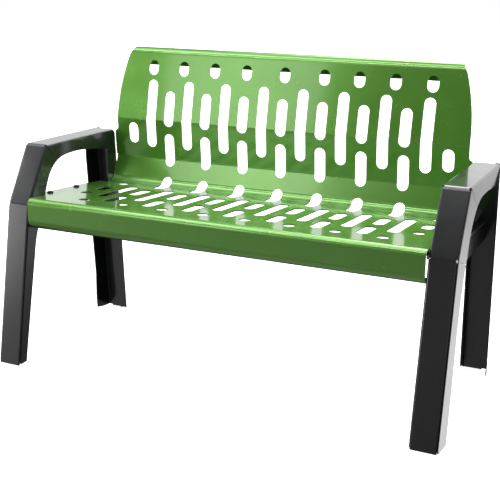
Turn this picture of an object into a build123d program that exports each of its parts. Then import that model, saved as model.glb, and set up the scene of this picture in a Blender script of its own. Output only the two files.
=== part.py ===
"""Street bench: one folded, slotted steel sheet carried between two bent channel side frames.

Millimetres, +Z up, +Y towards the backrest. The shapes are drawn with Y = 0 at the front of the front
feet and the ground at Z = GROUND, and are moved at the end so that the origin is the bottom centre of
the whole bench.
"""

import math
import os

from build123d import *

# ---- driving dimensions -------------------------------------------------------------------------

SHEET = 3.0  # thickness of the seat sheet
PLATE = 3.0  # thickness of the side frames and rails

GROUND = -3.0  # height of the ground in the drawing

FRAME_OUT = 618.0  # outer face of a side frame, from the middle of the bench
FRAME_IN = 549.0  # inner face of a side frame
BEND_OUT = 6.0  # outer radius of the long bends in the channel

# Seat plane: its height at SEAT_REF_Y, and its fall towards the back.
SEAT_REF_Y = 154.5
SEAT_REF_Z = 463.3
SEAT_FALL = 0.0803

SKIRT_Y = 72.5  # front face of the skirt
SKIRT_BOTTOM = 383.7
SKIRT_RETURN = 130.0  # the skirt's return flange ends here

SKIRT_HALF = 546.5  # half widths of the sheet, front to top
WING_HALF = 571.0
LOWER_BACK_HALF = 547.5
UPPER_BACK_HALF = 536.0
WING_FRONT = 158.0
WING_REAR = 463.0

SLOT_WIDTH = 32.0
SHORT_SLOT = 98.0
LONG_SLOT = 198.0
SMALL_SLOT = 62.0

# Outline of a side frame, ground to ground, as its outer face is bent.
FOOT = (-2.8, -1.0)
KNEE = (82.5, 450.0)
ARM_FRONT = (172.5, 599.3)
ARM_REAR = (523.5, 591.5)
HEEL = (563.0, 0.0)

FLARE = 9.5  # degrees that a rear leg's outer flange opens outwards
FLARE_DEPTH = 58.0

RAIL_OUT = 591.0  # outer face of a seat rail
RAIL_IN = 536.0  # inner edge of the rail's top flange, between the legs
RAIL_NECK = 566.0  # inner edge where the flange runs inside a leg
RAIL_BOTTOM_Z = 389.0
RAIL_BOTTOM_REAR_Z = 383.0

SEAT_BOLTS = ((556.0, 189.0), (560.0, 321.0))  # X, Y of the bolts through each wing
BOLT_SHANK = 5.0
BOLT_HEAD = 8.75
FRONT_BOLT_Y = 101.5
FRONT_BOLT_Z = 456.3
FRONT_SHANK = 4.0


# ---- small helpers ------------------------------------------------------------------------------


def seat_z(y):
    """Height of the seat's top face."""
    return SEAT_REF_Z - SEAT_FALL * (y - SEAT_REF_Y)


def under_seat_z(y):
    """Height of the seat's underside."""
    return seat_z(y) - SHEET * math.hypot(1, SEAT_FALL)


def mirrored(shape):
    """The same shape on the bench's other side."""
    return mirror(shape, about=Plane.YZ)


def both(shape):
    """A shape together with its mirror image."""
    return [shape, mirrored(shape)]


def side_region(points, radii):
    """A closed region of the Y-Z plane with rounded corners."""
    with BuildSketch(Plane.YZ) as region:
        with BuildLine():
            FilletPolyline(*points, radius=radii, close=True)
        make_face()
    return region.sketch


def across(sketch, low, high):
    """A Y-Z region extruded from X = low to X = high."""
    return Pos(low, 0, 0) * extrude(sketch, amount=high - low, dir=(1, 0, 0))


def beside(points, gap):
    """Corners of the line that runs beside an open polyline, on its right for a positive gap."""
    shifted = []
    for index, (y, z) in enumerate(points):
        before = points[max(index - 1, 0)]
        after = points[min(index + 1, len(points) - 1)]
        arrive = direction(before, (y, z)) if index else direction((y, z), after)
        leave = direction((y, z), after) if index < len(points) - 1 else arrive
        normal = (arrive[1] + leave[1], -arrive[0] - leave[0])
        scale = gap * 2 / (normal[0] ** 2 + normal[1] ** 2)
        shifted.append((y + normal[0] * scale, z + normal[1] * scale))
    return shifted


def direction(start, end):
    """Unit vector from one point to another."""
    length = math.dist(start, end)
    return ((end[0] - start[0]) / length, (end[1] - start[1]) / length)


def turn(before, here, after):
    """Sine of the turn at a corner, positive to the left."""
    arrive = direction(before, here)
    leave = direction(here, after)
    return arrive[0] * leave[1] - arrive[1] * leave[0]


def strip(points, radii, gap, plane=Plane.YZ):
    """The section of a plate bent along a polyline, its thickness laid on the line's right."""
    inner = beside(points, gap)
    inner_radii = []
    for index, radius in enumerate(radii):
        left = turn(*points[index : index + 3]) > 0
        inner_radii.append(radius + gap if left else radius - gap)
    with BuildSketch(plane) as section:
        with BuildLine():
            FilletPolyline(*points, radius=radii)
            FilletPolyline(*inner, radius=inner_radii)
            Line(points[0], inner[0])
            Line(points[-1], inner[-1])
        make_face()
    return section.sketch


def flat_plate(line, gap):
    """The section of a flat plate below a straight line."""
    return side_region((*line, *reversed(beside(line, gap))), 0)


# ---- seat and back sheet ------------------------------------------------------------------------

SEAT_CORNER = (503.3, seat_z(503.3))
KICK = (526.8, 512.0)  # where the rise behind the seat is bent into the lower back
LUMBAR = (517.8, 628.0)  # the foremost line of the back, where it is bent
UPPER_LEAN = 0.2035  # how far the upper back leans back for each unit of height
ROLL_TOP = 837.4
ROLL_REAR = 600.4
ROLL_EDGE = 783.5
SHEET_LINE = (
    (SKIRT_RETURN, SKIRT_BOTTOM),
    (SKIRT_Y, SKIRT_BOTTOM),
    (SKIRT_Y, seat_z(SKIRT_Y)),
    SEAT_CORNER,
    KICK,
    LUMBAR,
    (LUMBAR[0] + UPPER_LEAN * (ROLL_TOP - LUMBAR[1]), ROLL_TOP),
    (ROLL_REAR, ROLL_TOP),
    (ROLL_REAR, ROLL_EDGE),
)
SHEET_RADII = (28.0, 16.0, 30.0, 15.0, 20.0, 22.0, 19.0)

# Columns of slots: the seat and back alternate two evenly spaced sets.
COLUMN_PITCH = 120.0
ODD_COLUMNS = [COLUMN_PITCH * (step + 0.5) for step in range(-4, 4)]
EVEN_COLUMNS = [COLUMN_PITCH * step for step in range(-3, 4)]
END_COLUMN = 481.5
TOP_COLUMNS = [0.0] + [sign * (118.0 + 101.5 * step) for step in range(4) for sign in (-1, 1)]


def slot_cutter(length, x, along, on_seat):
    """A round-ended cutter through the seat (downwards) or through the back (backwards)."""
    plane = Plane.XY if on_seat else Plane.XZ
    outline = plane * Rot(0, 0, 90) * SlotOverall(length, SLOT_WIDTH)
    if on_seat:
        return Pos(x, along, 400.0) * extrude(outline, amount=90.0, dir=(0, 0, 1))
    return Pos(x, 480.0, along) * extrude(outline, amount=95.0, dir=(0, 1, 0))


def bend_cutters(x):
    """Two cutters of the slot that runs out of the seat and up the rise behind it."""
    rise = direction(SEAT_CORNER, KICK)
    plane = Plane(origin=(x, *SEAT_CORNER), x_dir=(0, *rise), z_dir=(0, -rise[1], rise[0]))
    outline = plane * Pos(2.2, 0, 0) * SlotOverall(48.4, SLOT_WIDTH)
    return [slot_cutter(70.0, x, 473.0, True), extrude(outline, amount=30.0, both=True)]


def seat_slots():
    """All cutters of the seat, its bend included."""
    cutters = [Pos(x, 157.0, 400.0) * Cylinder(SLOT_WIDTH / 2, 180.0) for x in ODD_COLUMNS]
    cutters += [slot_cutter(SHORT_SLOT, x, 218.0, True) for x in EVEN_COLUMNS]
    cutters += [slot_cutter(LONG_SLOT, x, 326.0, True) for x in ODD_COLUMNS]
    cutters += [slot_cutter(SHORT_SLOT, x, 348.0, True) for x in EVEN_COLUMNS]
    cutters += both(slot_cutter(SMALL_SLOT, END_COLUMN, 348.0, True))
    for y in (256.0, 455.0):
        cutters += both(Pos(END_COLUMN, y, 400.0) * Cylinder(SLOT_WIDTH / 2, 180.0))
    for x in EVEN_COLUMNS:
        cutters += bend_cutters(x)
    return cutters


def back_slots():
    """All cutters of the back."""
    cutters = [slot_cutter(SHORT_SLOT, x, 540.0, False) for x in EVEN_COLUMNS]
    cutters += [slot_cutter(2 * SHORT_SLOT + 4.0, x, 645.3, False) for x in ODD_COLUMNS]
    cutters += [slot_cutter(SHORT_SLOT + 5.0, x, 663.0, False) for x in EVEN_COLUMNS]
    cutters += [slot_cutter(43.0, x, 780.5, False) for x in TOP_COLUMNS]
    cutters += both(slot_cutter(SMALL_SLOT, END_COLUMN, 585.0, False))
    return cutters


BARREL_RADIUS = 580.0
BARREL_END = (509.6, 813.0)


def back_edge_cutter():
    """What is cut from one side of the back: narrow shoulders and a barrel-shaped top."""
    with BuildSketch(Plane.XZ) as region:
        with BuildLine():
            waist = (UPPER_BACK_HALF, 640.0)
            FilletPolyline(
                (700.0, 380.0),
                (LOWER_BACK_HALF, 380.0),
                (LOWER_BACK_HALF, 588.0),
                (UPPER_BACK_HALF, 592.0),
                waist,
                radius=(0, 10.0, 10.0),
            )
            RadiusArc(waist, BARREL_END, -BARREL_RADIUS)
            Polyline(BARREL_END, (495.5, ROLL_TOP + 1.0), (495.5, 878.0), (700.0, 878.0), (700.0, 380.0))
        make_face()
    return Pos(0, WING_REAR, 0) * extrude(region.sketch, amount=200.0, dir=(0, 1, 0))


def roll_edge_cutter():
    """What is cut from one side of the rolled rear edge, which keeps narrowing as it turns down."""
    with BuildSketch(Plane.XZ) as region:
        corners = ((495.5, 880.0), (495.5, ROLL_TOP), (479.0, 812.0), (462.0, 770.0), (700.0, 770.0), (700.0, 880.0))
        Polygon(*corners, align=None)
    return Pos(0, (ROLL_REAR + 555.0) / 2, 0) * extrude(region.sketch, amount=100.0, dir=(0, 1, 0))


def front_edge_cutter():
    """What is cut from one side of the skirt, so that it fits between the front legs."""
    width = 200.0
    block = Box(width, WING_FRONT + 50.0, 200.0, align=(Align.MIN, Align.MAX, Align.CENTER))
    return Pos(SKIRT_HALF, WING_FRONT, 430.0) * block


def seat_and_back_sheet():
    """The folded sheet: skirt, seat, back and rolled top."""
    sheet = across(strip(SHEET_LINE, SHEET_RADII, SHEET), -WING_HALF, WING_HALF)
    relief = Box(6.0, 100.0, 22.0)
    cutters = both(front_edge_cutter()) + both(back_edge_cutter()) + both(roll_edge_cutter())
    cutters += both(Pos(LOWER_BACK_HALF, 530.0, 503.0) * relief)
    cutters += seat_slots() + back_slots()
    for x, y in SEAT_BOLTS:
        cutters += both(on_seat(x, y, 0.0) * Cylinder(BOLT_SHANK, 40.0))
    return sheet - cutters


# ---- side frames --------------------------------------------------------------------------------

# The space inside the arm loop and between the legs, as each flange leaves it.
INNER_OPENING = (
    (22.0, -40.0),
    (33.2, 15.7),
    (107.0, 352.0),
    (196.0, 553.0),
    (318.0, 562.0),
    (474.5, 538.5),
    (474.5, 438.0),
    (508.0, 398.0),
    (530.0, -40.0),
)
INNER_RADII = (0, 0, 300.0, 100.0, 500.0, 6.0, 25.0, 25.0, 0)
OUTER_OPENING = (
    (81.0, -40.0),
    (133.3, 333.5),
    (222.3, 551.5),
    (400.0, 551.5),
    (474.0, 538.5),
    (474.0, 503.0),
    (503.0, 120.0),
    (501.5, -40.0),
)
OUTER_RADII = (0, 600.0, 140.0, 700.0, 4.0, 200.0, 200.0, 0)
SEAM = 1.2
RELIEF = 4.5


def channel_blank():
    """The bent channel before its flanges are trimmed: one side view, hollow between two flanges."""
    low = 40.0
    foot = beyond(KNEE, FOOT, low)
    heel = beyond(ARM_REAR, HEEL, low)
    line = (foot, KNEE, ARM_FRONT, ARM_REAR, heel)
    radii = (14.0, 14.0, 18.0)
    outside = across(side_region(line, (0, *radii, 0)), FRAME_IN, FRAME_OUT)
    edges = outside.edges().filter_by(lambda edge: long_bend(edge, (FRAME_IN, FRAME_OUT)))
    outside = fillet(edges, BEND_OUT)
    inside_line = [beyond(KNEE, FOOT, low + 20.0), *line[1:4], beyond(ARM_REAR, HEEL, low + 20.0)]
    inside_line = beside(inside_line, PLATE)
    inside_radii = [radius - PLATE for radius in radii]
    faces = (FRAME_IN + PLATE, FRAME_OUT - PLATE)
    inside = across(side_region(inside_line, (0, *inside_radii, 0)), *faces)
    edges = inside.edges().filter_by(lambda edge: long_bend(edge, faces))
    inside = fillet(edges, BEND_OUT - PLATE)
    return outside - inside


def beyond(start, end, extra):
    """The point that lies a little past the end of a run."""
    run = direction(start, end)
    return (end[0] + run[0] * extra, end[1] + run[1] * extra)


def long_bend(edge, faces):
    """True for an edge of a side view's bent outline, and false for its closing line."""
    centre = edge.center()
    on_face = any(abs(centre.X - face) < 0.01 for face in faces)
    level = abs((edge @ 1).X - (edge @ 0).X) < 0.01
    closing = max((edge @ 0).Z, (edge @ 1).Z) < -5.0
    return on_face and level and not closing


def seam_cutter(start, end, low, high):
    """A fine open joint between two flanges, from the bend towards the middle."""
    run = direction(start, end)
    middle = ((start[0] + end[0]) / 2, (start[1] + end[1]) / 2)
    plane = Plane(origin=(low, *middle), x_dir=(0, *run), z_dir=(1, 0, 0))
    slit = plane * Rectangle(math.dist(start, end), SEAM)
    return extrude(slit, amount=high - low)


def relief_cutter(y, z, x):
    """The round relief where a joint meets the corner of the channel."""
    return Pos(x, y, z) * Sphere(RELIEF)


def joint_cutters():
    """Mitred joints and corner reliefs at the knee, the arm's front and the arm's rear."""
    middle = (FRAME_IN + FRAME_OUT) / 2
    inner = (FRAME_IN - 1.0, middle - 20.0)
    outer = (middle + 20.0, FRAME_OUT + 1.0)
    corners = (((85.5, 449.5), (126.0, 434.0), (176.0, 416.0)), ((174.5, 596.5), (222.0, 546.0), (254.0, 536.0)))
    cutters = []
    for relief, inner_end, outer_end in corners:
        for span, end, x in ((inner, inner_end, FRAME_IN + 2.0), (outer, outer_end, FRAME_OUT - 2.0)):
            cutters.append(relief_cutter(*relief, x))
            cutters.append(seam_cutter(relief, end, *span))
    rear = (518.0, 585.5)
    for span, x in ((inner, FRAME_IN), (outer, FRAME_OUT)):
        cutters.append(seam_cutter(rear, (476.0, 530.0), *span))
        cutters.append(relief_cutter(480.0, 534.0, x))
    return cutters


def foot_cutter():
    """Trims both feet: the web ends square, the flanges a little shorter, and the bends are notched."""
    low = GROUND - 90.0
    square = side_region(((-60.0, low), (-60.0, 23.0), (80.4, GROUND), (80.4, low)), 0)
    level = side_region(((5.0, low), (5.0, 13.5), (60.0, 13.5), (60.0, low)), 0)
    notch = side_region(((-20.0, low), (-20.0, 17.5), (8.0, 17.5), (8.0, low)), 0)
    inner_heel = side_region(((495.0, low), (495.0, 10.6), (557.0, 6.3), (557.0, low)), 0)
    outer_heel = side_region(((495.0, low), (495.0, 6.0), (552.0, GROUND), (552.0, low)), 0)
    ground = Pos(0, 300.0, GROUND - 50.0) * Box(3000.0, 1000.0, 100.0)
    return [
        across(square, FRAME_IN - 1.0, 650.0),
        across(level, FRAME_IN - 1.0, FRAME_IN + 10.0),
        across(notch, FRAME_IN - 1.0, FRAME_IN + PLATE),
        across(notch, FRAME_OUT - PLATE, FRAME_OUT + 1.0),
        across(inner_heel, FRAME_IN - 1.0, FRAME_IN + 10.0),
        across(outer_heel, FRAME_OUT - 10.0, 650.0),
        ground,
    ]


def flared_flange():
    """The rear leg's outer flange with its bend, opened outwards by FLARE degrees."""
    angle = math.radians(FLARE)
    start = FRAME_OUT - 14.0
    corner = (FRAME_OUT, 0.0)
    tip = (FRAME_OUT + FLARE_DEPTH * math.sin(angle), -FLARE_DEPTH * math.cos(angle))
    rise = direction(HEEL, ARM_REAR)
    plane = Plane(origin=(0, *HEEL), x_dir=(1, 0, 0), z_dir=(0, *rise))
    sense = 1.0 if plane.y_dir.Y > 0 else -1.0
    line = [(x, y * sense) for x, y in ((start, 0.0), corner, tip)]
    section = strip(line, (BEND_OUT,), PLATE if sense > 0 else -PLATE, plane)
    leg = extrude(section, amount=620.0, both=True)
    keep = side_region(((485.0, 541.0), (524.5, 592.5), (640.0, 592.5), (640.0, 0.0), (440.0, 0.0), (440.0, 541.0)), 0)
    return (leg & across(keep, 560.0, 700.0)) - across(side_region(OUTER_OPENING, OUTER_RADII), 560.0, 700.0)


def side_frame():
    """One side frame: front leg, arm and rear leg bent from a single channel."""
    middle = (FRAME_IN + FRAME_OUT) / 2
    frame = channel_blank()
    frame -= across(side_region(INNER_OPENING, INNER_RADII), FRAME_IN - 1.0, middle)
    frame -= across(side_region(OUTER_OPENING, OUTER_RADII), middle, FRAME_OUT + 1.0)
    rear_zone = ((480.0, 534.0), (524.5, 592.5), (640.0, 592.5), (640.0, -90.0), (440.0, -90.0), (440.0, 534.0))
    frame -= across(side_region(rear_zone, 0), FRAME_OUT - 14.0, FRAME_OUT + 1.0)
    frame += flared_flange()
    return frame - joint_cutters() - foot_cutter()


# ---- seat rails and fasteners -------------------------------------------------------------------


WELD_GAP = 0.4  # root gap between the end of a rail and the leg that it is welded to


def web_y(start, end, z):
    """Y of a leg's inside web face at a height, less the weld's root gap."""
    inner = beside([start, end], PLATE + WELD_GAP)
    share = (z - inner[0][1]) / (inner[1][1] - inner[0][1])
    return inner[0][0] + share * (inner[1][0] - inner[0][0])


def seat_rail():
    """The folded angle under one end of the seat, welded into the legs at both ends."""
    front = web_y(KNEE, ARM_FRONT, under_seat_z(95.0))
    rear = web_y(ARM_REAR, HEEL, under_seat_z(530.0))
    top = [(y, under_seat_z(y)) for y in (front, rear)]
    rear_low = (web_y(ARM_REAR, HEEL, RAIL_BOTTOM_REAR_Z), RAIL_BOTTOM_REAR_Z)
    front_low = (web_y(FOOT, KNEE, RAIL_BOTTOM_Z), RAIL_BOTTOM_Z)
    knee = beside((FOOT, KNEE, ARM_FRONT), PLATE + WELD_GAP)[1]
    ends = side_region((*top, rear_low, front_low, knee), 0)
    run = [(y, under_seat_z(y)) for y in (front - 40.0, rear + 40.0)]
    tall = side_region((*run, (rear + 40.0, RAIL_BOTTOM_REAR_Z - 40.0), (front - 40.0, RAIL_BOTTOM_Z - 40.0)), 0)
    hollow = side_region([(y, z - PLATE) for y, z in (*run, (rear + 40.0, 300.0), (front - 40.0, 300.0))], 0)
    rail = fillet_top_edge(across(tall, RAIL_IN, RAIL_OUT)) - across(hollow, RAIL_IN - 1.0, RAIL_OUT - PLATE)
    rail &= across(ends, RAIL_IN - 1.0, RAIL_OUT + 1.0)
    neck = Box(200.0, 200.0, 200.0, align=(Align.MAX, Align.MAX, Align.CENTER))
    rail -= Pos(RAIL_NECK, 162.0, 430.0) * neck
    neck = Box(200.0, 200.0, 200.0, align=(Align.MAX, Align.MIN, Align.CENTER))
    rail -= Pos(RAIL_NECK, 458.0, 430.0) * neck
    for x, y in SEAT_BOLTS:
        rail -= on_seat(x, y, 0.0) * Cylinder(BOLT_SHANK, 40.0)
    return rail


def fillet_top_edge(rail):
    """Rounds the rail's long outer bend."""
    edges = rail.edges().filter_by(lambda edge: abs(edge.center().X - RAIL_OUT) < 0.01)
    longest = sorted(edges, key=lambda edge: edge.center().Z)[-1]
    return fillet([longest], BEND_OUT - 1.0)


def on_seat(x, y, lift):
    """A place on the seat's top face, lifted along its normal, with Z along that normal."""
    normal = direction((0.0, 0.0), (SEAT_FALL, 1.0))
    plane = Plane(
        origin=(x, y + lift * normal[0], seat_z(y) + lift * normal[1]),
        x_dir=(1, 0, 0),
        z_dir=(0, *normal),
    )
    return plane.location


def seat_bolt(x, y):
    """A button-head bolt with a socket, down through wing and rail."""
    head_height = 5.0
    low = (Align.CENTER, Align.CENTER, Align.MIN)
    head = Cylinder(BOLT_HEAD, head_height, align=low)
    head = fillet(head.edges().sort_by(Axis.Z)[-1:], 4.0)
    head -= Pos(0, 0, 2.4) * extrude(RegularPolygon(3.4, 6), amount=6.0)
    shank = Cylinder(BOLT_SHANK - 0.1, 26.0, align=(Align.CENTER, Align.CENTER, Align.MAX))
    return on_seat(x, y, 0.0) * (head + shank)


def ring(hole, radius, height):
    """A plain washer lying below its origin."""
    top = (Align.CENTER, Align.CENTER, Align.MAX)
    return Cylinder(radius, height, align=top) - Cylinder(hole, 3 * height, align=top)


def hex_nut(hole, across_flats, height):
    """A hexagon nut lying below its origin."""
    blank = extrude(RegularPolygon(across_flats / 2, 6, major_radius=False), amount=-height)
    return blank - Cylinder(hole, 4 * height)


WASHER_HEIGHT = 2.0


def seat_washer(x, y):
    """The washer under the rail's top flange."""
    return on_seat(x, y, -SHEET - PLATE) * ring(BOLT_SHANK + 0.2, 10.0, WASHER_HEIGHT)


def seat_nut(x, y):
    """The nut below that washer."""
    return on_seat(x, y, -SHEET - PLATE - WASHER_HEIGHT) * hex_nut(BOLT_SHANK, 16.0, 8.0)


def front_tab():
    """A small upright plate welded under the sheet's front corner, beside the leg."""
    reach = 14.0
    front, rear = FRONT_BOLT_Y - 10.0, FRONT_BOLT_Y + reach
    low = FRONT_BOLT_Z - reach
    corners = ((front, under_seat_z(front)), (rear, under_seat_z(rear)), (rear, low), (front, low))
    return across(side_region(corners, (0, 0, 6.0, 4.0)), SKIRT_HALF - PLATE, SKIRT_HALF) - front_hole()


def front_hole():
    """Clearance hole of the front bolt."""
    return Pos(560.0, FRONT_BOLT_Y, FRONT_BOLT_Z) * Rot(0, 90, 0) * Cylinder(FRONT_SHANK, 100.0)


def front_bolt():
    """A bolt across the gap between leg and seat, its head inside the channel."""
    start = SKIRT_HALF - 14.0
    shank = Pos(start, 0, 0) * Rot(0, 90, 0) * Cylinder(
        FRONT_SHANK - 0.1, FRAME_IN + PLATE - start, align=(Align.CENTER, Align.CENTER, Align.MIN)
    )
    head = extrude(RegularPolygon(6.5, 6, major_radius=False), amount=5.3)
    head = Pos(FRAME_IN + PLATE, 0, 0) * Rot(0, 90, 0) * head
    return Pos(0, FRONT_BOLT_Y, FRONT_BOLT_Z) * (shank + head)


def front_nut():
    """The nut on the tab's inner side."""
    nut = Pos(SKIRT_HALF - PLATE, 0, 0) * Rot(0, 90, 0) * hex_nut(FRONT_SHANK, 13.0, 6.5)
    return Pos(0, FRONT_BOLT_Y, FRONT_BOLT_Z) * nut


# ---- assembly -----------------------------------------------------------------------------------


def group(solids):
    """Several separate solids kept in one node."""
    return Compound(list(solids))


def one_side():
    """Name to shape of everything on the bench's right side."""
    return {
        "side_frame": side_frame() - front_hole(),
        "seat_rail": seat_rail(),
        "seat_bolts": group(seat_bolt(x, y) for x, y in SEAT_BOLTS),
        "seat_washers": group(seat_washer(x, y) for x, y in SEAT_BOLTS),
        "seat_nuts": group(seat_nut(x, y) for x, y in SEAT_BOLTS),
        "front_tab": front_tab(),
        "front_bolt": front_bolt(),
        "front_nut": front_nut(),
    }


def main():
    """Builds every node and writes it with the origin at the bench's bottom centre."""
    nodes = {"seat_and_back_sheet": seat_and_back_sheet()}
    for name, shape in one_side().items():
        nodes["right_" + name] = shape
        nodes["left_" + name] = mirrored(shape)
    boxes = [shape.bounding_box() for shape in nodes.values()]
    middle = (min(box.min.Y for box in boxes) + max(box.max.Y for box in boxes)) / 2
    os.makedirs("parts", exist_ok=True)
    for name, shape in nodes.items():
        export_step(Pos(0, -middle, -GROUND) * shape, f"parts/{name}.step")
    print("shift along Y", round(-middle, 3))


main()
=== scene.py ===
"""Street bench: looks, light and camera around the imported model. Metres, +Z up, +Y towards the back."""

import math

import bpy
from mathutils import Euler, Matrix, Vector


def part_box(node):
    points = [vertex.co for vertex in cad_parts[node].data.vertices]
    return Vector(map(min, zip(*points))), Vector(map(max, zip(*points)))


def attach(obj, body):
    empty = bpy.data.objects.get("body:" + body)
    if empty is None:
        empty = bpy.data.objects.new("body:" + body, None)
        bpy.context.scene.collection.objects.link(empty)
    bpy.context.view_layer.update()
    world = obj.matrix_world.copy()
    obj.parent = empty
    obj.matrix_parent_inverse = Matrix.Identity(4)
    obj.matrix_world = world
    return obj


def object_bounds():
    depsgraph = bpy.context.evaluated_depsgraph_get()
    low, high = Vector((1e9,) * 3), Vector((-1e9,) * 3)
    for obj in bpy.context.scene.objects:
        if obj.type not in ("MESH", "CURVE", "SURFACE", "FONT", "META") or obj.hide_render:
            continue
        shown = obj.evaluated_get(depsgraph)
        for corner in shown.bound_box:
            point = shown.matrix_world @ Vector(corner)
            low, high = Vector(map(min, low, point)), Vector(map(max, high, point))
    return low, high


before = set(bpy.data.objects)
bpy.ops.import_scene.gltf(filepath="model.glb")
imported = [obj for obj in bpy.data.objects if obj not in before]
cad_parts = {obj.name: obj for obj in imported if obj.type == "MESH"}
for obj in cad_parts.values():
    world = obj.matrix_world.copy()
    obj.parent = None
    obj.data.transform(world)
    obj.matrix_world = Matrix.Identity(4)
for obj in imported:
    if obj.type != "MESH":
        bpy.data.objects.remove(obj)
CAD_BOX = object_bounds()

# ---- camera, floor and light settings -----------------------------------------------------------

# The camera's turn, place and lens come from a least-squares fit, rounded.
VIEW_YAW = 24.4  # degrees, turned to the bench's left
VIEW_PITCH = 16.1  # degrees below level
VIEW_ROLL = 0.435
LENS = 69.4  # millimetres on the default 36 mm sensor
LENS_SHIFT = (-0.0034, -0.0265)
CAMERA_PLACE = (1.0433, -2.2689, 1.0976)

FLOOR_SIZE = 30.0
FLOOR_DROP = 0.0004

# Patches of light: (azimuth, elevation), angle to the edge, angle to the full core, brightness.
# Most of these brightnesses, and the powers of overhead, left_front and left_end below, were not chosen
# by hand. They are the rounded output of a least-squares program.
STUDIO = (
    ((180.0, 55.0), 28.0, 5.0, 8.4),  # high behind the back
    ((90.0, 50.0), 28.0, 5.0, 2.0),  # high at the left end
    ((-90.0, 50.0), 28.0, 5.0, 1.9),  # high at the right end
    ((85.0, 12.0), 32.0, 6.0, 0.45),
    ((46.0, 2.0), 11.0, 1.0, 7.0),  # low strip at the left front
    ((24.0, 25.0), 11.0, 1.0, 1.3),
    ((-8.0, 2.0), 11.0, 1.0, 1.0),
    ((14.0, 2.0), 11.0, 1.0, 0.25),
    ((-40.0, 15.0), 30.0, 5.0, 0.22),
    ((130.0, 8.0), 32.0, 6.0, 1.05),  # backdrop, left to right
    ((180.0, 8.0), 36.0, 8.0, 1.1),
    ((-130.0, 8.0), 32.0, 6.0, 1.8),
    ((-170.0, -32.0), 20.0, 8.0, 1.2),  # floor behind the right end
    ((25.0, -18.0), 22.0, 3.0, 0.34),  # studio floor
    ((50.0, -18.0), 22.0, 3.0, 0.30),
    ((0.0, -75.0), 60.0, 10.0, 0.40),
)

# Soft boxes: place, target, size, power.
SOFT_BOXES = {
    "overhead": ((0.0, -0.3, 2.4), (0.0, 0.0, 0.4), (3.0, 0.5), 21.6),
    "front_top": ((0.0, -1.2, 2.3), (0.0, 0.0, 0.4), (3.2, 0.14), 20.0),  # strip for the glints
    "left_front": ((-1.0, -1.6, 1.2), (-0.3, 0.2, 0.6), (0.8, 0.8), 4.2),
    "left_end": ((-1.6, -0.6, 1.0), (-0.4, 0.1, 0.6), (0.6, 0.6), 8.0),
}

GLINT_BOX = "front_top"  # seen only in the gloss, where it draws the bright lines along the bends

# ---- colours ------------------------------------------------------------------------------------

GREEN = (0.128, 0.358, 0.042, 1.0)
CHARCOAL = (0.0095, 0.0100, 0.0122, 1.0)
FASTENER = (0.030, 0.030, 0.032, 1.0)
FLOOR_TONES = ((0.90, 0.90, 0.90, 1.0), (0.92, 0.92, 0.92, 1.0))
WHITE = (1.0, 1.0, 1.0, 1.0)

# ---- dimensions that the detail pieces follow ---------------------------------------------------

SEAT_FALL = 0.0803  # how far the seat falls for each unit of depth
BOLT_HEAD = 0.00875  # radius of a seat bolt's head
HEAD_RISE = 0.0052  # height of the head above the seat
NUT_BOTTOM = 0.016  # below the seat's top face, along the bolt
BOLT_LENGTH = 0.026  # below the seat's top face, along the bolt
TIP_GAP = 0.0004  # from the end of a thread to the end of its bolt
SEAT_THREAD = (0.0047, 0.0015)  # root radius and pitch
FRONT_THREAD = (0.0036, 0.00125)
THREAD_DEPTH = 0.42  # height of a ridge as a share of the pitch
THREAD_SIDES = 16
THREAD_STEPS = 8  # rings in one turn
LEAD_IN = 6  # rings over which the thread fades at the tip
TIP_CHAMFER = 0.0001

KNEE_HEIGHT = 0.453  # of the bend in a front leg, above the foot
FRONT_LEAN = 0.189  # how far each leg leans for each unit of height
REAR_LEAN = 0.067
BEAD_RADIUS = 0.0022
BEAD_SIDES = 10
BEAD_STEPS = 6  # rings in one ripple
RIPPLE = 0.16  # height of a ripple as a share of the bead's radius
BEAD_INSET = 0.0035  # from a rail's outer face to the middle of a bead
FRONT_BEAD = (0.0012, 0.006, 0.002)  # behind the rail's front, above its bottom, below the knee
REAR_BEAD = (0.0008, 0.003, 0.046)  # ahead of the rail's rear, lower and upper end above its bottom


# ---- node helpers -------------------------------------------------------------------------------


def new_material(name):
    """An empty node material with its Principled shader wired to the output."""
    material = bpy.data.materials.new(name)
    material.use_nodes = True
    return material, material.node_tree.nodes, material.node_tree.links


def add(nodes, kind, **values):
    """A node of that kind with its properties and unlinked inputs set."""
    node = nodes.new(kind)
    for key, value in values.items():
        if hasattr(node, key):
            setattr(node, key, value)
        else:
            node.inputs[key.replace("_", " ")].default_value = value
    return node


def object_coordinates(nodes, links, scale):
    """Object coordinates, scaled along each axis."""
    coordinates = add(nodes, "ShaderNodeTexCoord")
    mapping = add(nodes, "ShaderNodeMapping")
    mapping.inputs["Scale"].default_value = scale
    links.new(coordinates.outputs["Object"], mapping.inputs["Vector"])
    return mapping.outputs["Vector"]


def noise(nodes, links, scale, detail, vector):
    """Noise texture output over a given vector."""
    texture = add(nodes, "ShaderNodeTexNoise", Scale=scale, Detail=detail)
    links.new(vector, texture.inputs["Vector"])
    return texture.outputs["Fac"]


def ramp(nodes, links, source, low, high, low_value, high_value):
    """Maps a value from low..high to low_value..high_value."""
    limits = {"From_Min": low, "From_Max": high, "To_Min": low_value, "To_Max": high_value}
    node = add(nodes, "ShaderNodeMapRange", **limits)
    links.new(source, node.inputs["Value"])
    return node.outputs["Result"]


def mix_colours(nodes, links, share, first, second):
    """Mixes two colours by a share."""
    node = add(nodes, "ShaderNodeMix", data_type="RGBA")
    links.new(share, node.inputs["Factor"])
    node.inputs[6].default_value = first
    node.inputs[7].default_value = second
    return node.outputs[2]


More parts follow.
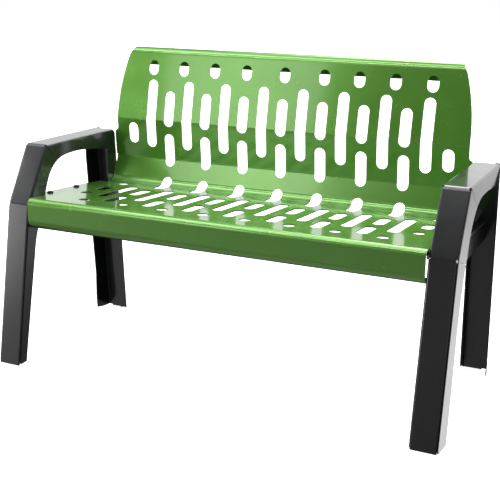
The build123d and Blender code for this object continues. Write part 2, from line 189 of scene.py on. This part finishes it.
def bump(nodes, links, height, strength, distance, normal=None):
    """A bump node laid over an earlier normal."""
    node = add(nodes, "ShaderNodeBump", Strength=strength, Distance=distance)
    links.new(height, node.inputs["Height"])
    if normal is not None:
        links.new(normal, node.inputs["Normal"])
    return node.outputs["Normal"]


def shade(colour, factor):
    """A colour made lighter or darker."""
    return tuple(min(1.0, channel * factor) for channel in colour[:3]) + (1.0,)


# ---- materials ----------------------------------------------------------------------------------


def powder_coat(name, colour, roughness, sparkle, peel, streak_axis):
    """Glossy powder coat: slight colour drift, fine flow-out ripple, faint lines along the bends."""
    material, nodes, links = new_material(name)
    shader = nodes["Principled BSDF"]
    plain = object_coordinates(nodes, links, (1.0, 1.0, 1.0))
    drift = noise(nodes, links, 5.0, 3.0, plain)
    share = ramp(nodes, links, drift, 0.3, 0.7, 0.0, 1.0)
    tint = mix_colours(nodes, links, share, shade(colour, 0.96), shade(colour, 1.04))
    links.new(tint, shader.inputs["Base Color"])
    patches = noise(nodes, links, 14.0, 3.0, plain)
    gloss = ramp(nodes, links, patches, 0.3, 0.7, roughness * 0.9, roughness * 1.12)
    links.new(gloss, shader.inputs["Roughness"])
    stretch = [300.0, 300.0, 300.0]
    stretch[streak_axis] = 2.0
    streaks = noise(nodes, links, 1.0, 2.0, object_coordinates(nodes, links, tuple(stretch)))
    normal = bump(nodes, links, streaks, 0.10, 0.00005)
    fine = noise(nodes, links, 420.0, 1.0, plain)
    normal = bump(nodes, links, fine, peel, 0.00002, normal)
    links.new(normal, shader.inputs["Normal"])
    shader.inputs["Metallic"].default_value = sparkle
    shader.inputs["IOR"].default_value = 1.5
    shader.inputs["Coat Weight"].default_value = 1.0
    shader.inputs["Coat Roughness"].default_value = 0.09
    return material


def black_steel():
    """Blackened fastener steel with a worn sheen."""
    material, nodes, links = new_material("black_steel")
    shader = nodes["Principled BSDF"]
    plain = object_coordinates(nodes, links, (1.0, 1.0, 1.0))
    wear = ramp(nodes, links, noise(nodes, links, 350.0, 4.0, plain), 0.45, 0.75, 0.0, 1.0)
    tint = mix_colours(nodes, links, wear, FASTENER, shade(FASTENER, 2.6))
    links.new(tint, shader.inputs["Base Color"])
    links.new(ramp(nodes, links, wear, 0.0, 1.0, 0.45, 0.28), shader.inputs["Roughness"])
    shader.inputs["Metallic"].default_value = 0.85
    links.new(bump(nodes, links, wear, 0.15, 0.0002), shader.inputs["Normal"])
    return material


def floor_material():
    """Plain pale floor, lit evenly."""
    material, nodes, links = new_material("pale_floor")
    shader = nodes["Principled BSDF"]
    plain = object_coordinates(nodes, links, (1.0, 1.0, 1.0))
    drift = ramp(nodes, links, noise(nodes, links, 1.5, 2.0, plain), 0.3, 0.7, 0.0, 1.0)
    tint = mix_colours(nodes, links, drift, *FLOOR_TONES)
    links.new(tint, shader.inputs["Base Color"])
    shader.inputs["Roughness"].default_value = 0.9
    shader.inputs["Specular IOR Level"].default_value = 0.1
    shader.inputs["Emission Color"].default_value = WHITE
    shader.inputs["Emission Strength"].default_value = 0.9
    return material


def dress(node, material):
    """Gives a CAD node one material, softened cut edges and flat faces that mirror without dents."""
    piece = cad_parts[node]
    piece.data.materials.clear()
    piece.data.materials.append(material)
    weld = piece.modifiers.new("join_points", "WELD")
    weld.merge_threshold = 0.00001
    soften = piece.modifiers.new("broken_edges", "BEVEL")
    soften.width = 0.0005
    soften.segments = 2
    soften.limit_method = "ANGLE"
    soften.angle_limit = math.radians(50)
    soften.harden_normals = True
    soften.use_clamp_overlap = True
    flatten = piece.modifiers.new("flat_faces", "WEIGHTED_NORMAL")
    flatten.weight = 100
    flatten.keep_sharp = True


# ---- detail pieces ------------------------------------------------------------------------------


def mesh_piece(name, vertices, faces, material):
    """A smooth-shaded mesh piece that rides with the bench."""
    mesh = bpy.data.meshes.new(name)
    mesh.from_pydata(vertices, [], faces)
    mesh.polygons.foreach_set("use_smooth", [True] * len(mesh.polygons))
    mesh.materials.append(material)
    piece = bpy.data.objects.new(name, mesh)
    bpy.context.scene.collection.objects.link(piece)
    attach(piece, "root")


def rings_to_faces(rings, around):
    """Quads between consecutive rings of points, with both ends closed."""
    faces = []
    for ring in range(rings - 1):
        for side in range(around):
            after = (side + 1) % around
            low, high = ring * around, (ring + 1) * around
            faces.append((low + side, low + after, high + after, high + side))
    faces.append(tuple(range(around - 1, -1, -1)))
    faces.append(tuple((rings - 1) * around + side for side in range(around)))
    return faces


def tube(start, end, steps, around, reach):
    """Vertices and faces of a closed tube whose radius is reach(step, corner) at each point."""
    start, end = Vector(start), Vector(end)
    axis = (end - start).normalized()
    side = axis.orthogonal().normalized()
    up = axis.cross(side)
    vertices = []
    for step in range(steps + 1):
        centre = start.lerp(end, step / steps)
        for corner in range(around):
            angle = 2 * math.pi * corner / around
            outward = math.cos(angle) * side + math.sin(angle) * up
            vertices.append(centre + reach(step, corner) * outward)
    return vertices, rings_to_faces(steps + 1, around)


def weld_bead(name, start, end):
    """A rippled fillet of weld metal along a straight joint, thinner at both ends."""
    length = (Vector(end) - Vector(start)).length
    steps = BEAD_STEPS * max(2, round(length / (1.4 * BEAD_RADIUS)))

    def reach(step, corner):
        share = step / steps
        taper = min(1.0, 0.35 + 5.0 * share, 0.35 + 5.0 * (1.0 - share))
        return BEAD_RADIUS * taper * (1.0 + RIPPLE * abs(math.sin(math.pi * step / BEAD_STEPS)))

    vertices, faces = tube(start, end, steps, BEAD_SIDES, reach)
    mesh_piece(name, vertices, faces, charcoal)


def thread(name, start, end, radius, pitch):
    """The threaded end of a bolt: a helical ridge that fades at the tip."""
    length = (Vector(end) - Vector(start)).length
    steps = THREAD_STEPS * round(length / pitch)

    def reach(step, corner):
        fade = min(1.0, (steps - step) / LEAD_IN)
        crest = abs(((step / THREAD_STEPS - corner / THREAD_SIDES) % 1.0) * 2.0 - 1.0)
        return radius + pitch * THREAD_DEPTH * crest * fade - TIP_CHAMFER * (1.0 - fade)

    vertices, faces = tube(start, end, steps, THREAD_SIDES, reach)
    mesh_piece(name, vertices, faces, steel)


def seat_bolt_threads(side):
    """Threads of one side's two seat bolts, from under the nuts to the bolts' ends."""
    low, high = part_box(side + "_seat_bolts")
    axis = Vector((0.0, SEAT_FALL, 1.0)).normalized()
    inner, outer = low.x + BOLT_HEAD, high.x - BOLT_HEAD
    if side == "left":
        inner, outer = outer, inner
    front, rear = low.y + BOLT_HEAD, high.y - BOLT_HEAD
    drop = SEAT_FALL * (rear - front)
    for place, x, y, fall in (("front", inner, front, 0.0), ("rear", outer, rear, drop)):
        top = Vector((x, y, high.z - HEAD_RISE - fall))
        begin, end = top - axis * NUT_BOTTOM, top - axis * (BOLT_LENGTH - TIP_GAP)
        thread(f"{side}_seat_thread_{place}", begin, end, *SEAT_THREAD)


def front_bolt_thread(side):
    """Thread of one side's front bolt, beyond its nut."""
    bolt_low, bolt_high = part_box(side + "_front_bolt")
    nut_low, nut_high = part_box(side + "_front_nut")
    _, y, z = (nut_low + nut_high) / 2
    begin, end = nut_low.x, bolt_low.x + TIP_GAP
    if side == "left":
        begin, end = nut_high.x, bolt_high.x - TIP_GAP
    thread(side + "_front_thread", (begin, y, z), (end, y, z), *FRONT_THREAD)


def rail_welds(side):
    """Weld beads where one side's rail meets the webs of both legs."""
    low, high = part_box(side + "_seat_rail")
    wall = high.x - BEAD_INSET if side == "right" else low.x + BEAD_INSET
    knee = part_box(side + "_side_frame")[0].z + KNEE_HEIGHT
    back, lift, below = FRONT_BEAD
    foot = (wall, low.y + back, low.z + lift)
    weld_bead(side + "_weld_front", foot, (wall, low.y + FRONT_LEAN * (knee - low.z), knee - below))
    ahead, lift, rise = REAR_BEAD
    heel = (wall, high.y - ahead, low.z + lift)
    weld_bead(side + "_weld_rear", heel, (wall, heel[1] - REAR_LEAN * rise, low.z + rise))


# ---- stage --------------------------------------------------------------------------------------


def make_floor():
    """A big pale square just under the feet, lit white, that the bench's gloss doesn't mirror."""
    half = FLOOR_SIZE / 2
    mesh = bpy.data.meshes.new("floor")
    corners = [(-half, -half, 0), (half, -half, 0), (half, half, 0), (-half, half, 0)]
    mesh.from_pydata(corners, [], [(0, 1, 2, 3)])
    mesh.materials.append(floor_material())
    floor = bpy.data.objects.new("floor", mesh)
    floor.location = (0, 0, CAD_BOX[0][2] - FLOOR_DROP)
    floor.visible_glossy = False
    floor.visible_diffuse = False
    bpy.context.scene.collection.objects.link(floor)


def area_light(name, place, target, size, power):
    """A soft rectangular light aimed at a point."""
    data = bpy.data.lights.new(name, "AREA")
    data.shape = "RECTANGLE"
    data.size, data.size_y = size
    data.energy = power
    light = bpy.data.objects.new(name, data)
    light.location = place
    light.rotation_euler = (Vector(target) - Vector(place)).to_track_quat("-Z", "Y").to_euler()
    bpy.context.scene.collection.objects.link(light)
    return light


def aim(azimuth, elevation):
    """Unit vector: azimuth in degrees from straight ahead of the seat, positive to its left end."""
    across, up = math.radians(azimuth), math.radians(elevation)
    return (-math.sin(across) * math.cos(up), -math.cos(across) * math.cos(up), math.sin(up))


def glow(nodes, links, direction, centre, edge, core, strength):
    """A soft patch of studio light: full within core degrees of its centre, nothing past edge."""
    dot = add(nodes, "ShaderNodeVectorMath", operation="DOT_PRODUCT")
    links.new(direction, dot.inputs[0])
    dot.inputs[1].default_value = aim(*centre)
    patch = add(nodes, "ShaderNodeMapRange", interpolation_type="SMOOTHSTEP")
    patch.inputs["From Min"].default_value = math.cos(math.radians(edge))
    patch.inputs["From Max"].default_value = math.cos(math.radians(core))
    patch.inputs["To Max"].default_value = strength
    links.new(dot.outputs["Value"], patch.inputs["Value"])
    return patch.outputs["Result"]


def make_world():
    """A studio of soft patches that the bench mirrors; the camera itself sees plain white."""
    world = bpy.data.worlds.new("studio")
    world.use_nodes = True
    nodes, links = world.node_tree.nodes, world.node_tree.links
    direction = add(nodes, "ShaderNodeTexCoord").outputs["Generated"]
    total = None
    for centre, edge, core, strength in STUDIO:
        patch = glow(nodes, links, direction, centre, edge, core, strength)
        if total is not None:
            both = add(nodes, "ShaderNodeMath", operation="ADD")
            links.new(total, both.inputs[0])
            links.new(patch, both.inputs[1])
            patch = both.outputs["Value"]
        total = patch
    surround = nodes["Background"]
    surround.inputs["Color"].default_value = WHITE
    links.new(total, surround.inputs["Strength"])
    backdrop = add(nodes, "ShaderNodeBackground", Color=WHITE, Strength=1.0)
    seen = add(nodes, "ShaderNodeLightPath").outputs["Is Camera Ray"]
    choice = add(nodes, "ShaderNodeMixShader")
    links.new(seen, choice.inputs["Fac"])
    links.new(surround.outputs["Background"], choice.inputs[1])
    links.new(backdrop.outputs["Background"], choice.inputs[2])
    links.new(choice.outputs["Shader"], nodes["World Output"].inputs["Surface"])
    bpy.context.scene.world = world


def make_camera():
    """Camera at the picture's angle."""
    data = bpy.data.cameras.new("camera")
    data.lens = LENS
    data.clip_end = 100.0
    data.shift_x, data.shift_y = LENS_SHIFT
    camera = bpy.data.objects.new("camera", data)
    turn = Euler((math.radians(90.0 - VIEW_PITCH), 0.0, math.radians(VIEW_YAW))).to_matrix()
    roll = Matrix.Rotation(math.radians(VIEW_ROLL), 3, "Z")
    camera.matrix_world = Matrix.Translation(CAMERA_PLACE) @ (turn @ roll).to_4x4()
    bpy.context.scene.collection.objects.link(camera)
    bpy.context.scene.camera = camera


# ---- the bench and its studio -------------------------------------------------------------------

green = powder_coat("green_coat", GREEN, 0.25, 0.45, 0.05, 0)
charcoal = powder_coat("charcoal_coat", CHARCOAL, 0.30, 0.0, 0.12, 2)
steel = black_steel()
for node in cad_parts:
    if node == "seat_and_back_sheet":
        dress(node, green)
    elif node.endswith(("side_frame", "seat_rail", "front_tab")):
        dress(node, charcoal)
    else:
        dress(node, steel)

for end in ("left", "right"):
    seat_bolt_threads(end)
    front_bolt_thread(end)
    rail_welds(end)

make_floor()
make_world()
for name, setting in SOFT_BOXES.items():
    light = area_light(name, *setting)
    light.visible_diffuse = name != GLINT_BOX
make_camera()
bpy.context.scene.view_settings.view_transform = "Standard"
